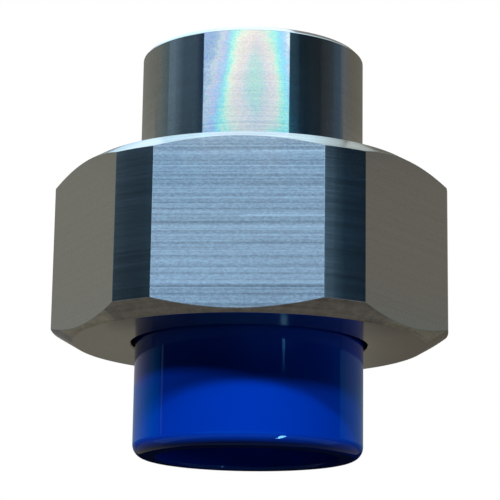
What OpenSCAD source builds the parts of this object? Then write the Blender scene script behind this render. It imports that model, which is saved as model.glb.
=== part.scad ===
// Threaded pipe union: a plastic socket tail and a stainless threaded end, held face to face
// by a stainless hex union nut whose corners are turned round. An O-ring seals the joint.
// Millimetres. The part stands on the socket tail's end, with its axis on Z.

/* [Union nut] */
// Width across the nut's six flats
nut_flats = 65; // [63:0.5:80]
// Diameter to which the nut's six corners are turned
nut_corner_d = 71; // [68:0.5:72]
// Height of the nut
nut_h = 31.2; // [28:0.1:40]
// Diameter of the nut's flat lower face, inside its chamfer
nut_lower_face_d = 63; // [58:0.5:65]
// Diameter of the nut's flat upper face, inside its chamfer
nut_upper_face_d = 60.4; // [58:0.1:65]
// Angle of both chamfers to the nut's faces, in degrees
nut_chamfer_angle = 30; // [20:1:40]
// Thickness of the shoulder that pulls on the tail's flange
shoulder_h = 5.5; // [4:0.1:8]
// Height of the relief groove above the shoulder, where the thread runs out
relief_h = 2.6; // [1:0.1:4]
// Depth of the relief groove past the thread's crests
relief_past_thread = 0.3; // [0.1:0.1:1]
// Small chamfer that breaks the edges of the shoulder's hole
hole_edge_break = 0.4; // [0.1:0.1:1]

/* [Joint thread] */
// Major diameter of the thread between the nut and the threaded end
joint_thread_d = 53.75; // [52:0.05:56]
// Pitch of the joint thread
joint_pitch = 2.309; // [1.5:0.001:3]
// Radial clearance between the nut's thread and the collar's thread
joint_clearance = 0.05; // [0.02:0.01:0.1]
// Depth of the countersink at the nut's mouth
mouth_sink = 1.4; // [0.5:0.1:2]

/* [Socket tail] */
// Outside diameter of the plastic tail
tail_d = 40.8; // [38:0.1:42]
// Length of the tail below the nut
tail_out = 20.25; // [14:0.25:30]
// Radius that rounds the tail's outer end
tail_end_round = 2.5; // [0.5:0.1:3.5]
// Radial gap between the tail and the hole in the nut's shoulder
tail_gap = 0.75; // [0.4:0.05:1]
// Bore of the pipe socket
socket_d = 32.1; // [28:0.1:33]
// Depth of the pipe socket
socket_depth = 22; // [16:0.5:26]
// Width of the chamfer at the socket's mouth
socket_lead = 0.5; // [0.2:0.1:1]
// Diameter of the tail's flange
flange_d = 50; // [47:0.1:50.2]
// Thickness of the tail's flange
flange_h = 5.5; // [4:0.1:8]
// Chamfer on the flange's two rims
flange_edge = 0.5; // [0.2:0.1:1]
// Radius of the fillet under the flange, where it meets the tail
flange_fillet = 0.5; // [0.2:0.1:0.8]

/* [Threaded end] */
// Outside diameter of the steel end
end_d = 40.4; // [39:0.1:46]
// Length of the steel end above the nut
end_out = 22.25; // [15:0.25:35]
// Chamfer on the steel end's outer rim
end_edge = 0.8; // [0.2:0.1:1.5]
// Height of the threaded collar
collar_h = 18.25; // [14:0.25:19]
// Chamfer at both ends of the collar
collar_edge = 1.5; // [0.5:0.1:2]
// Major diameter of the female pipe thread
pipe_thread_d = 33.25; // [30:0.05:34]
// Pitch of the female pipe thread
pipe_pitch = 2.309; // [1.5:0.001:2.5]
// Depth of the female pipe thread, with its runout
pipe_thread_depth = 20; // [14:0.5:24]
// Depth of the countersink at the pipe thread's mouth, past the thread's roots
pipe_sink = 0.4; // [0.2:0.1:1]

/* [Waterway] */
// Diameter of the passage through both tails
waterway_d = 26; // [20:0.5:27]
// Angle of the cones that lead into the passage, in degrees from the axis
waterway_cone = 60; // [45:5:75]

/* [Seal] */
// Thickness of the O-ring's cord before it is squeezed
ring_cord = 3; // [2.4:0.1:3.4]
// Diameter of the middle line of the O-ring
ring_mid_d = 34; // [32:0.5:38]
// Depth of the groove, which is the height of the squeezed ring
groove_depth = 2.3; // [1.8:0.1:2.4]
// Gap beside the squeezed ring, at each wall of its groove
ring_side_gap = 0.17; // [0.1:0.01:0.4]

/* [Hidden] */
$fn = 144;
HEX = 6;
CUT = 1;
// Depth of a pipe thread's profile as a share of its pitch
THREAD_DEPTH_SHARE = 0.6403;

// Heights along the axis, from the tail's end up
nut_z = tail_out;
shoulder_z = nut_z + shoulder_h;
seat_z = shoulder_z + flange_h;
nut_top_z = nut_z + nut_h;
collar_top_z = seat_z + collar_h;
top_z = nut_top_z + end_out;
pipe_floor_z = top_z - pipe_thread_depth;

// Radii
corner_r = nut_corner_d / 2;
lower_face_r = nut_lower_face_d / 2;
upper_face_r = nut_upper_face_d / 2;
tail_r = tail_d / 2;
hole_r = tail_r + tail_gap;
socket_r = socket_d / 2;
flange_r = flange_d / 2;
end_r = end_d / 2;
waterway_r = waterway_d / 2;
joint_depth = joint_pitch * THREAD_DEPTH_SHARE;
joint_pitch_r = joint_thread_d / 2 - joint_depth / 2;
relief_r = joint_thread_d / 2 + relief_past_thread;
nut_thread_r = joint_pitch_r + joint_clearance;
collar_r = joint_pitch_r;
pipe_bore_r = pipe_thread_d / 2 - pipe_pitch * THREAD_DEPTH_SHARE;
pipe_mouth_r = pipe_thread_d / 2 + pipe_sink;
ring_mid_r = ring_mid_d / 2;

// Chamfer heights on the nut
lower_chamfer_h = (corner_r - lower_face_r) * tan(nut_chamfer_angle);
upper_chamfer_h = (corner_r - upper_face_r) * tan(nut_chamfer_angle);

// The squeezed ring keeps the area of its round section, with half-round sides
ring_flat = PI * (pow(ring_cord, 2) - pow(groove_depth, 2)) / (4 * groove_depth);
ring_w = ring_flat + groove_depth;
groove_w = ring_w + 2 * ring_side_gap;

// Height of a cone between two radii that narrows at the waterway's angle
function cone_h(outer_r, inner_r) = (outer_r - inner_r) / tan(waterway_cone);

module turned() {
    rotate_extrude() children();
}

// Nut: a hex bar whose corners and faces are turned, bored from the top down to its shoulder
module nut_blank() {
    intersection() {
        translate([0, 0, nut_z])
            cylinder(d = nut_flats / cos(180 / HEX), h = nut_h, $fn = HEX);
        turned() polygon([
            [0, nut_z],
            [lower_face_r, nut_z],
            [corner_r, nut_z + lower_chamfer_h],
            [corner_r, nut_top_z - upper_chamfer_h],
            [upper_face_r, nut_top_z],
            [0, nut_top_z]
        ]);
    }
}

module nut_cavity() {
    relief_top_z = shoulder_z + relief_h;
    turned() polygon([
        [0, nut_z - CUT],
        [hole_r + hole_edge_break + CUT, nut_z - CUT],
        [hole_r, nut_z + hole_edge_break],
        [hole_r, shoulder_z - flange_fillet],
        [hole_r + flange_fillet, shoulder_z],
        [relief_r, shoulder_z],
        [relief_r, relief_top_z],
        [nut_thread_r, relief_top_z + relief_r - nut_thread_r],
        [nut_thread_r, nut_top_z - mouth_sink],
        [nut_thread_r + mouth_sink + CUT, nut_top_z + CUT],
        [0, nut_top_z + CUT]
    ]);
}

module union_nut() {
    color("LightSteelBlue")
        difference() {
            nut_blank();
            nut_cavity();
        }
}

// Socket tail: a moulded tube with a rounded end, a pipe socket and a flange
module tail_outline() {
    difference() {
        union() {
            translate([0, tail_end_round])
                square([tail_r, seat_z - tail_end_round]);
            square([tail_r - tail_end_round, seat_z]);
            translate([tail_r - tail_end_round, tail_end_round])
                circle(r = tail_end_round);
            polygon([
                [0, shoulder_z],
                [flange_r - flange_edge, shoulder_z],
                [flange_r, shoulder_z + flange_edge],
                [flange_r, seat_z - flange_edge],
                [flange_r - flange_edge, seat_z],
                [0, seat_z]
            ]);
            translate([0, shoulder_z - flange_fillet])
                square([tail_r + flange_fillet, flange_fillet]);
        }
        translate([tail_r + flange_fillet, shoulder_z - flange_fillet])
            circle(r = flange_fillet);
    }
}

module tail_cavity() {
    polygon([
        [0, -CUT],
        [socket_r + socket_lead + CUT, -CUT],
        [socket_r, socket_lead],
        [socket_r, socket_depth],
        [waterway_r, socket_depth],
        [waterway_r, seat_z + CUT],
        [0, seat_z + CUT]
    ]);
}

module socket_tail() {
    color("MediumBlue")
        turned() difference() {
            tail_outline();
            tail_cavity();
        }
}

// Threaded end: a turned steel body with a collar for the nut and a female pipe thread
module end_outline() {
    polygon([
        [0, seat_z],
        [collar_r - collar_edge, seat_z],
        [collar_r, seat_z + collar_edge],
        [collar_r, collar_top_z - collar_edge],
        [collar_r - collar_edge, collar_top_z],
        [end_r, collar_top_z],
        [end_r, top_z - end_edge],
        [end_r - end_edge, top_z],
        [0, top_z]
    ]);
}

module end_cavity() {
    polygon([
        [0, seat_z - CUT],
        [waterway_r, seat_z - CUT],
        [waterway_r, pipe_floor_z - cone_h(pipe_bore_r, waterway_r)],
        [pipe_bore_r, pipe_floor_z],
        [pipe_bore_r, top_z - pipe_mouth_r + pipe_bore_r],
        [pipe_mouth_r + CUT, top_z + CUT],
        [0, top_z + CUT]
    ]);
}

module ring_groove() {
    translate([ring_mid_r - groove_w / 2, seat_z - CUT])
        square([groove_w, groove_depth + CUT]);
}

module threaded_end() {
    color("Silver")
        turned() difference() {
            end_outline();
            end_cavity();
            ring_groove();
        }
}

// O-ring: squeezed between the floor of its groove and the tail's flange
module o_ring() {
    color([0.08, 0.08, 0.08])
        turned() translate([ring_mid_r, seat_z + groove_depth / 2]) {
            square([ring_flat, groove_depth], center = true);
            for (side = [-1, 1])
                translate([side * ring_flat / 2, 0])
                    circle(d = groove_depth);
        }
}

socket_tail();
union_nut();
threaded_end();
o_ring();
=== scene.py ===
"""Looks of a threaded pipe union: a blue plastic socket tail, a turned steel end and a hex union nut.

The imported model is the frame. The three big pieces are turned, milled and threaded again here
with their real threads and broken edges, and stand for their plain solids. Lengths are in
millimetres, and MM turns them into metres.
"""

import logging
import math
from dataclasses import dataclass, field
from enum import Enum

import bmesh
import bpy
from mathutils import Matrix, Vector


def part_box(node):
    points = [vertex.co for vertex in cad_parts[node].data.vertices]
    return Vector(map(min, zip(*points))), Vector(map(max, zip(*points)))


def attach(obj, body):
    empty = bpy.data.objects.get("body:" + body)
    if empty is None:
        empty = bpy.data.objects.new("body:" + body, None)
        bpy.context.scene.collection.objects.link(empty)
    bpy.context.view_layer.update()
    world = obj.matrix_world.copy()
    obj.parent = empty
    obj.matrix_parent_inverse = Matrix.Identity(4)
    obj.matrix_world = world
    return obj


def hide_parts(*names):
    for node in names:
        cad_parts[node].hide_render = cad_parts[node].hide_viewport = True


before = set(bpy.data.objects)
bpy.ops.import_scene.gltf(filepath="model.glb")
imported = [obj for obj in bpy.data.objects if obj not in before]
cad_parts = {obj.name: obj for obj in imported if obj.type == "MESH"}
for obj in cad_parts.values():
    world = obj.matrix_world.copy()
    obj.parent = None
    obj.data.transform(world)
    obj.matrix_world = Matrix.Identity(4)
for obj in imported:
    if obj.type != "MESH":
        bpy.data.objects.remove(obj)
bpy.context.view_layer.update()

MM = 0.001
FULL_TURN = math.tau
log = logging.getLogger("union")

Socket = bpy.types.NodeSocket
Colour = tuple[float, float, float]
Span = tuple[float, float]
Sockets = dict[str, Socket]


class Surface(Enum):
    """The finishes of the nut's surfaces, each with its place among the nut's materials."""

    TURNED = 0
    MILLED = 1
    THREAD = 2
    FACED = 3


@dataclass(frozen=True)
class Corner:
    """One corner of a turned profile.

    Args:
        radius: distance from the axis, in mm.
        height: place along the axis, in mm.
        edge: width of the rounding that breaks the corner, in mm.
    """

    radius: float
    height: float
    edge: float = 0.0


@dataclass(frozen=True)
class ThreadForm:
    """A right-hand pipe thread of 55 degrees.

    Args:
        major_radius: radius at the roots of the female thread, in mm.
        pitch: rise of one turn, in mm.
        play: gap left on each flank and crest, in mm.
    """

    major_radius: float
    pitch: float
    play: float = 0.06

    # Depth of the profile as a share of the pitch, and half the angle between its flanks
    DEPTH_SHARE = 0.6403
    FLANK = math.radians(27.5)

    @property
    def depth(self) -> float:
        """Height of the thread's profile, in mm."""
        return self.pitch * self.DEPTH_SHARE

    @property
    def minor_radius(self) -> float:
        """Radius at the crests of the female thread, in mm."""
        return self.major_radius - self.depth

    def half_width(self, from_middle: float) -> float:
        """Half the width of a ridge.

        Args:
            from_middle: distance from mid-depth towards the crest, in mm.

        Returns:
            The half width at that depth, in mm.
        """
        return self.pitch / 4 - self.play - from_middle * math.tan(self.FLANK)


class Bench:
    """The few modelling steps that every piece shares, done with Blender's own operators."""

    @staticmethod
    def edit(piece: bpy.types.Object) -> None:
        """Opens one piece alone for editing.

        Args:
            piece: the object to open.
        """
        bpy.ops.object.select_all(action="DESELECT")
        bpy.context.view_layer.objects.active = piece
        piece.select_set(True)
        bpy.ops.object.mode_set(mode="EDIT")

    @staticmethod
    def close() -> None:
        """Goes back to object mode."""
        bpy.ops.object.mode_set(mode="OBJECT")

    @staticmethod
    def outline(name: str, corners: list[Corner]) -> bpy.types.Object:
        """Draws a closed profile in the XZ plane and rounds its corners.

        Args:
            name: name of the new object.
            corners: the corners in order round the profile.

        Returns:
            The object, with a loop of edges and no face.
        """
        bpy.ops.object.select_all(action="DESELECT")
        first = corners[0]
        bpy.ops.mesh.primitive_plane_add(size=MM, location=(first.radius * MM, 0, first.height * MM))
        piece = bpy.context.object
        piece.name = piece.data.name = name
        bpy.ops.object.transform_apply(location=True, rotation=True, scale=True)
        Bench.edit(piece)
        bpy.ops.mesh.select_all(action="SELECT")
        bpy.ops.mesh.merge(type="CENTER")
        for last, corner in zip(corners, corners[1:]):
            step = ((corner.radius - last.radius) * MM, 0, (corner.height - last.height) * MM)
            bpy.ops.mesh.extrude_region_move(TRANSFORM_OT_translate={"value": step})
        bpy.ops.mesh.select_all(action="SELECT")
        bpy.ops.mesh.edge_face_add()
        Bench.round_corners(piece, corners)
        bpy.ops.mesh.select_all(action="SELECT")
        bpy.ops.mesh.delete(type="ONLY_FACE")
        Bench.close()
        return piece

    @staticmethod
    def round_corners(piece: bpy.types.Object, corners: list[Corner]) -> None:
        """Rounds the corners of a profile, each by its own width.

        Args:
            piece: the object in edit mode.
            corners: the corners of its profile.
        """
        few, many, broad = 3, 10, 1.0
        for width in sorted({c.edge for c in corners if c.edge > 0}):
            places = [Vector((c.radius, 0, c.height)) * MM for c in corners if c.edge == width]
            mesh = bmesh.from_edit_mesh(piece.data)
            for vert in mesh.verts:
                vert.select = any((vert.co - place).length < MM / 1000 for place in places)
            mesh.select_flush_mode()
            bmesh.update_edit_mesh(piece.data)
            bpy.ops.mesh.bevel(
                offset=width * MM,
                offset_type="OFFSET",
                segments=few if width < broad else many,
                affect="VERTICES",
            )

    @staticmethod
    def lathe(name: str, corners: list[Corner], steps: int = 192) -> bpy.types.Object:
        """Turns a closed profile into a solid round the Z axis.

        Args:
            name: name of the new object.
            corners: the profile's corners.
            steps: number of steps in the full turn.

        Returns:
            The turned object, closed and with its normals outwards.
        """
        piece = Bench.outline(name, corners)
        Bench.edit(piece)
        bpy.ops.mesh.select_all(action="SELECT")
        bpy.ops.mesh.spin(steps=steps, angle=FULL_TURN, center=(0, 0, 0), axis=(0, 0, 1))
        bpy.ops.mesh.select_all(action="SELECT")
        bpy.ops.mesh.remove_doubles(threshold=MM / 10000)
        bpy.ops.mesh.normals_make_consistent(inside=False)
        Bench.close()
        return piece

    @staticmethod
    def smooth(piece: bpy.types.Object, angle: float = 34.0) -> None:
        """Shades a piece smooth, with sharp edges past an angle and its large faces kept true.

        Args:
            piece: the object to shade.
            angle: the largest angle that stays smooth, in degrees.
        """
        bpy.ops.object.select_all(action="DESELECT")
        bpy.context.view_layer.objects.active = piece
        piece.select_set(True)
        bpy.ops.object.shade_smooth_by_angle(angle=math.radians(angle))
        weighting = piece.modifiers.new("true_faces", "WEIGHTED_NORMAL")
        weighting.mode = "FACE_AREA"
        weighting.weight = 95
        weighting.keep_sharp = True
        bpy.ops.object.modifier_apply(modifier=weighting.name)

    @staticmethod
    def join(body: bpy.types.Object, *others: bpy.types.Object) -> bpy.types.Object:
        """Joins other objects into one body.

        Args:
            body: the object that stays.
            others: the objects that become part of it.

        Returns:
            The joined object.
        """
        bpy.ops.object.select_all(action="DESELECT")
        for other in others:
            other.select_set(True)
        body.select_set(True)
        bpy.context.view_layer.objects.active = body
        bpy.ops.object.join()
        return body

    @staticmethod
    def dress(piece: bpy.types.Object, *materials: bpy.types.Material) -> None:
        """Gives a piece its materials, and the first of them to all its faces.

        Args:
            piece: the object to dress.
            materials: the materials, in the order of their numbers.
        """
        piece.data.materials.clear()
        for material in materials:
            piece.data.materials.append(material)


@dataclass(frozen=True)
class ThreadCut:
    """One run of thread on a wall.

    Args:
        name: name of the run's object while it is made.
        form: the thread's form.
        start: height of the ridge's middle where it starts, at +X, in mm.
        turns: number of whole turns.
        female: True for ridges that point inwards from a bored wall.
        low_limit: radius and height of the cone that cuts the lower end.
        high_limit: radius and height of the cone that cuts the upper end.
    """

    name: str
    form: ThreadForm
    start: float
    turns: int
    female: bool
    low_limit: Span
    high_limit: Span

    # Steps in one turn, how far the foot is sunk in the wall, and the rounding of the crest, in mm
    STEPS = 120
    SUNK = 0.25
    ROUND = 0.14

    def section(self) -> list[Corner]:
        """Gives the corners of the ridge's section.

        Returns:
            The corners, from the sunk foot over the crest.
        """
        form, half = self.form, self.form.depth / 2
        middle = form.major_radius - half
        sign = -1 if self.female else 1
        foot, crest = middle - sign * (half + self.SUNK), middle + sign * (half - form.play)
        wide, narrow = form.half_width(-half - self.SUNK), form.half_width(half - form.play)
        return [
            Corner(foot, self.start - wide),
            Corner(crest, self.start - narrow, self.ROUND),
            Corner(crest, self.start + narrow, self.ROUND),
            Corner(foot, self.start + wide),
        ]

    def cut(self) -> bpy.types.Object:
        """Winds the ridge round the axis and trims it with the chamfers at both ends.

        Returns:
            The ridge as a closed solid.
        """
        ridge = Bench.outline(self.name, self.section())
        winding = ridge.modifiers.new("winding", "SCREW")
        winding.axis = "Z"
        winding.angle = FULL_TURN
        winding.screw_offset = self.form.pitch * MM
        winding.iterations = self.turns
        winding.steps = winding.render_steps = self.STEPS
        bpy.ops.object.modifier_apply(modifier=winding.name)
        Bench.edit(ridge)
        bpy.ops.mesh.select_all(action="SELECT")
        bpy.ops.mesh.fill_holes(sides=0)
        bpy.ops.mesh.select_all(action="SELECT")
        bpy.ops.mesh.normals_make_consistent(inside=False)
        Bench.close()
        for vert in ridge.data.vertices:
            vert.co = self.trimmed(vert.co)
        return ridge

    def trimmed(self, place: Vector) -> Vector:
        """Moves a point of the ridge back to the chamfer cones where it lies past them.

        Args:
            place: the point, in metres.

        Returns:
            The point on or behind both cones, in metres.
        """
        # How deep a trimmed end stays in the wall, in mm
        hidden = 0.15
        radius, height = place.xy.length / MM, place.z / MM
        height = min(max(height, self.low_limit[1] + hidden), self.high_limit[1] - hidden)
        below, above = height - self.low_limit[1], self.high_limit[1] - height
        if self.female:
            limit = max(self.low_limit[0] - below, self.high_limit[0] - above)
            new = max(radius, limit + (hidden if limit > self.form.major_radius else 0))
        else:
            limit = min(self.low_limit[0] + below, self.high_limit[0] + above)
            new = min(radius, limit - (hidden if limit < self.form.minor_radius else 0))
        share = new * MM / place.xy.length
        return Vector((place.x * share, place.y * share, height * MM))


class Graph:
    """Adds nodes and links to one node tree with few words.

    Args:
        tree: the node tree of a material, world or group.
    """

    def __init__(self, tree: bpy.types.NodeTree) -> None:
        self.tree = tree

    def add(self, kind: str, **settings: object) -> bpy.types.Node:
        """Adds a node.

        Args:
            kind: the node's type, without the words ShaderNode.
            settings: attributes to set on it.

        Returns:
            The new node.
        """
        node = self.tree.nodes.new("ShaderNode" + kind)
        for key, value in settings.items():
            setattr(node, key, value)
        return node

    def feed(self, target: Socket, value: object) -> None:
        """Links a socket to an input, or sets the input's own value.

        Args:
            target: the input.
            value: an output socket, or a plain value.
        """
        if isinstance(value, bpy.types.NodeSocket):
            self.tree.links.new(value, target)
        else:
            target.default_value = value

    def math(self, operation: str, *values: object, clamp: bool = False) -> Socket:
        """Adds a Math node.

        Args:
            operation: the node's operation.
            values: its inputs, in order.
            clamp: True to keep the result from 0 to 1.

        Returns:
            The result.
        """
        node = self.add("Math", operation=operation, use_clamp=clamp)
        for target, value in zip(node.inputs, values):
            self.feed(target, value)
        return node.outputs[0]

    def plus(self, first: object, second: object) -> Socket:
        """Adds two values."""
        return self.math("ADD", first, second)

    def minus(self, first: object, second: object) -> Socket:
        """Takes the second value from the first."""
        return self.math("SUBTRACT", first, second)

    def times(self, first: object, second: object) -> Socket:
        """Multiplies two values."""
        return self.math("MULTIPLY", first, second)

    def parts(self, vector: Socket) -> tuple[Socket, Socket, Socket]:
        """Splits a vector into its three parts."""
        node = self.add("SeparateXYZ")
        self.feed(node.inputs[0], vector)
        return tuple(node.outputs)

    def use(self, group: bpy.types.NodeTree, values: dict[str, object]) -> bpy.types.NodeOutputs:
        """Adds a node group.

        Args:
            group: the group.
            values: what its inputs take, by name.

        Returns:
            Its outputs, which are found by name.
        """
        node = self.add("Group", node_tree=group)
        for name, value in values.items():
            self.feed(node.inputs[name], value)
        return node.outputs

    def fit(
        self, value: object, low: float, high: float, to_low: object = 0.0, to_high: object = 1.0
    ) -> Socket:
        """Adds a smooth Map Range node.

        Args:
            value: the value to fit.
            low: the value that gives to_low.
            high: the value that gives to_high.
            to_low: result at and below low.
            to_high: result at and above high.

        Returns:
            The result.
        """
        node = self.add("MapRange", interpolation_type="SMOOTHSTEP")
        names = ("Value", "From Min", "From Max", "To Min", "To Max")
        for name, given in zip(names, (value, low, high, to_low, to_high)):
            self.feed(node.inputs[name], given)
        return node.outputs["Result"]

    def noise(self, vector: Socket, scale: float, detail: float = 2.0, roughness: float = 0.5) -> Socket:
        """Adds a noise texture.

        Args:
            vector: its coordinates.
            scale: its scale.
            detail: its number of octaves.
            roughness: the share that each octave keeps.

        Returns:
            The noise, from 0 to 1.
        """
        node = self.add("TexNoise")
        self.feed(node.inputs["Vector"], vector)
        for name, given in (("Scale", scale), ("Detail", detail), ("Roughness", roughness)):
            self.feed(node.inputs[name], given)
        return node.outputs["Fac"]

    def ramp(self, factor: Socket, stops: list[tuple[float, Colour]], mode: str = "LINEAR") -> Socket:
        """Adds a colour ramp.

        Args:
            factor: the value that picks the colour.
            stops: places and colours.
            mode: its interpolation.

        Returns:
            The colour.
        """
        node = self.add("ValToRGB")
        node.color_ramp.interpolation = mode
        marks = node.color_ramp.elements
        while len(marks) < len(stops):
            marks.new(1.0)
        for mark, (place, colour) in zip(marks, stops):
            mark.position = place
            mark.color = (*colour, 1.0)
        self.feed(node.inputs["Fac"], factor)
        return node.outputs["Color"]

    def blend(self, factor: object, first: object, second: object, mode: str = "MIX") -> Socket:
        """Mixes two colours.

        Args:
            factor: the share of the second.
            first: the first colour.
            second: the second colour.
            mode: the blend mode.

        Returns:
            The mixed colour.
        """
        node = self.add("Mix", data_type="RGBA", blend_type=mode)
        named = {socket.identifier: socket for socket in node.inputs}
        for name, value in (("Factor_Float", factor), ("A_Color", first), ("B_Color", second)):
            self.feed(named[name], (*value, 1.0) if isinstance(value, tuple) else value)
        return next(socket for socket in node.outputs if socket.identifier == "Result_Color")


def new_group(
    name: str, inputs: dict[str, str], outputs: dict[str, str]
) -> tuple[Graph, Sockets, Sockets]:
    """Makes an empty node group with named sockets.

    Args:
        name: the group's name.
        inputs: names and kinds of its inputs.
        outputs: names and kinds of its outputs.

    Returns:
        The group's graph, what its inputs give inside, and what its outputs take.
    """
    tree = bpy.data.node_groups.new(name, "ShaderNodeTree")
    for way, sockets in (("INPUT", inputs), ("OUTPUT", outputs)):
        for label, kind in sockets.items():
            tree.interface.new_socket(label, in_out=way, socket_type="NodeSocket" + kind)
    start, end = tree.nodes.new("NodeGroupInput"), tree.nodes.new("NodeGroupOutput")
    given = {label: start.outputs[label] for label in inputs}
    return Graph(tree), given, {label: end.inputs[label] for label in outputs}


def tool_marks() -> bpy.types.NodeTree:
    """Makes the group that draws a tool's marks: lines round or along a wall, circles on a face.

    Returns:
        The node group.
    """
    rates = {name: "Float" for name in ("Feed per m", "Fine per m", "Along per m")}
    graph, given, out = new_group(
        "tool_marks",
        {"Place": "Vector", "Normal": "Vector", **rates},
        {"Lines": "Float", "Grain": "Float", "Cloud": "Float", "Mottle": "Float"},
    )
    feed_share, fine_share, grain_along, face_calm = 0.6, 0.4, 2200.0, 0.7
    cloud_scale, mottle_scale = 70.0, 700.0
    # How far upright a normal is on any end face or chamfer, and on a plain end face
    sloped, plain = 0.4, 0.95
    x, y, z = graph.parts(given["Place"])
    facing_up = graph.parts(given["Normal"])[2]
    radius = graph.math("SQRT", graph.plus(graph.times(x, x), graph.times(y, y)))
    upright = graph.math("ABSOLUTE", facing_up)
    on_face = graph.math("GREATER_THAN", upright, sloped)
    on_plain_face = graph.math("GREATER_THAN", upright, plain)
    across = graph.plus(z, graph.times(on_face, graph.minus(radius, z)))

    def stretched(along: object, frequency: Socket) -> Socket:
        """Gives coordinates that change slowly along a mark and quickly across it.

        Args:
            along: how quickly they change along the mark, per metre.
            frequency: how quickly they change across it, per metre.

        Returns:
            The coordinates.
        """
        vector = graph.add("CombineXYZ")
        scaled = (graph.times(x, along), graph.times(y, along), graph.times(across, frequency))
        for target, value in zip(vector.inputs, scaled):
            graph.feed(target, value)
        return vector.outputs[0]

    feed = graph.noise(stretched(given["Along per m"], given["Feed per m"]), 1.0, 1.0, 0.5)
    shorter = graph.times(given["Along per m"], 1.5)
    fine = graph.noise(stretched(shorter, given["Fine per m"]), 1.0, 1.0, 0.6)
    lines = graph.plus(graph.times(feed, feed_share), graph.times(fine, fine_share))
    lines = graph.minus(graph.fit(lines, 0.32, 0.68), 0.5)
    calmer = graph.minus(1.0, graph.times(on_plain_face, face_calm))
    graph.feed(out["Lines"], graph.plus(graph.times(lines, calmer), 0.5))
    grain = graph.noise(stretched(grain_along, given["Fine per m"]), 1.0, 2.0, 0.6)
    graph.feed(out["Grain"], graph.fit(grain, 0.3, 0.7))
    graph.feed(out["Cloud"], graph.fit(graph.noise(given["Place"], cloud_scale, 3.0, 0.6), 0.3, 0.7))
    facing_down = graph.math("LESS_THAN", facing_up, -sloped)
    lower_chamfer = graph.math("SUBTRACT", facing_down, on_plain_face, clamp=True)
    speckle = graph.fit(graph.noise(given["Place"], mottle_scale, 3.0, 0.65), 0.3, 0.7)
    graph.feed(out["Mottle"], graph.times(graph.minus(speckle, 0.5), lower_chamfer))
    return graph.tree


@dataclass(frozen=True)
class Score:
    """One line that stands out on a milled flat.

    Args:
        height: its height, in mm.
        width: half its width, in mm.
        tone: how much lighter or darker it is, from -1 to 1.
    """

    height: float
    width: float
    tone: float


# The lines on the left and the right half of each heavily marked flat, from the lowest up
LEFT_SCORES = (
    Score(23.10, 0.19, -0.59), Score(24.44, 0.19, -0.65), Score(25.20, 0.35, 0.31),
    Score(30.90, 0.23, -0.19), Score(32.10, 0.16, 0.59), Score(34.42, 0.17, 0.74),
    Score(35.20, 0.39, -0.26), Score(36.55, 0.17, -0.26), Score(37.02, 0.16, 0.46),
    Score(37.46, 0.19, -0.37), Score(41.20, 0.20, 0.56), Score(41.76, 0.27, -0.48),
    Score(44.89, 0.20, 0.62), Score(45.86, 0.20, -0.45),
)
RIGHT_SCORES = (
    Score(23.12, 0.19, -0.59), Score(24.46, 0.19, -0.65), Score(25.20, 0.35, 0.37),
    Score(31.75, 0.19, -0.28), Score(34.41, 0.17, 0.78), Score(35.20, 0.31, -0.17),
    Score(36.40, 0.22, 0.85), Score(37.42, 0.20, -0.32), Score(41.17, 0.20, 0.56),
    Score(41.72, 0.31, -0.54), Score(44.85, 0.20, 0.65), Score(45.82, 0.20, -0.43),
    Score(47.43, 0.23, 0.65),
)


def milled_scores() -> bpy.types.NodeTree:
    """Makes the group that marks the few lines which stand out on the milled flats.

    Returns:
        The node group, whose tone is 0.5 where there is no line.
    """
    graph, given, out = new_group("milled_scores", {"Place": "Vector"}, {"Tone": "Float"})
    x, _, z = graph.parts(given["Place"])
    low, high, quiet = 20.0, 52.0, 0.5
    share = graph.math("DIVIDE", graph.minus(graph.math("DIVIDE", z, MM), low), high - low)

    def lines(scores: tuple[Score, ...]) -> Socket:
        """Draws every other line in one ramp and the rest in a second, so that neighbours may meet.

        Args:
            scores: the lines, from the lowest up.

        Returns:
            The lines' tone, 0 where there is none.
        """
        tones = []
        for group in (scores[::2], scores[1::2]):
            stops = [(0.0, (quiet,) * 3)]
            for score in group:
                middle, half = (score.height - low) / (high - low), score.width / (high - low)
                for place, tone in ((-half, 0.0), (0.0, score.tone / 2), (half, 0.0)):
                    stops.append((middle + place, (quiet + tone,) * 3))
            tones.append(graph.minus(graph.ramp(share, stops), quiet))
        return graph.plus(*tones)

    wander = graph.times(graph.minus(graph.noise(given["Place"], 150.0, 2.0), 0.5), 0.02)
    side = graph.fit(graph.plus(x, wander), -0.003, 0.003)
    left, right = lines(LEFT_SCORES), lines(RIGHT_SCORES)
    mixed = graph.plus(left, graph.times(side, graph.minus(right, left)))
    graph.feed(out["Tone"], graph.plus(mixed, quiet))
    return graph.tree


# Colours across one arch of the painted diffraction sheen on the turned end, by their place from its
# middle at 0
PAINTED_SHEEN_COLOURS = (
    (-2.60, (0.36, 0.48, 0.64)), (-2.05, (0.34, 0.46, 0.63)), (-1.75, (0.42, 0.53, 0.64)),
    (-1.50, (0.62, 0.68, 0.68)), (-1.32, (0.60, 0.60, 0.74)), (-1.15, (0.46, 0.65, 0.78)),
    (-1.02, (0.40, 0.85, 0.77)), (-0.92, (0.66, 0.95, 0.72)), (-0.83, (0.93, 0.88, 0.68)),
    (-0.62, (0.93, 0.77, 0.68)), (-0.45, (0.82, 0.76, 0.69)), (-0.25, (0.62, 0.75, 0.66)),
    (0.00, (0.56, 0.78, 0.63)), (0.25, (0.62, 0.75, 0.66)), (0.52, (0.84, 0.73, 0.69)),
    (0.72, (0.90, 0.80, 0.68)), (0.84, (0.68, 0.90, 0.68)), (0.94, (0.44, 0.90, 0.74)),
    (1.10, (0.36, 0.76, 0.88)), (1.32, (0.50, 0.70, 0.84)), (1.60, (0.66, 0.86, 0.92)),
    (2.60, (0.74, 0.88, 0.93)),
)


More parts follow.
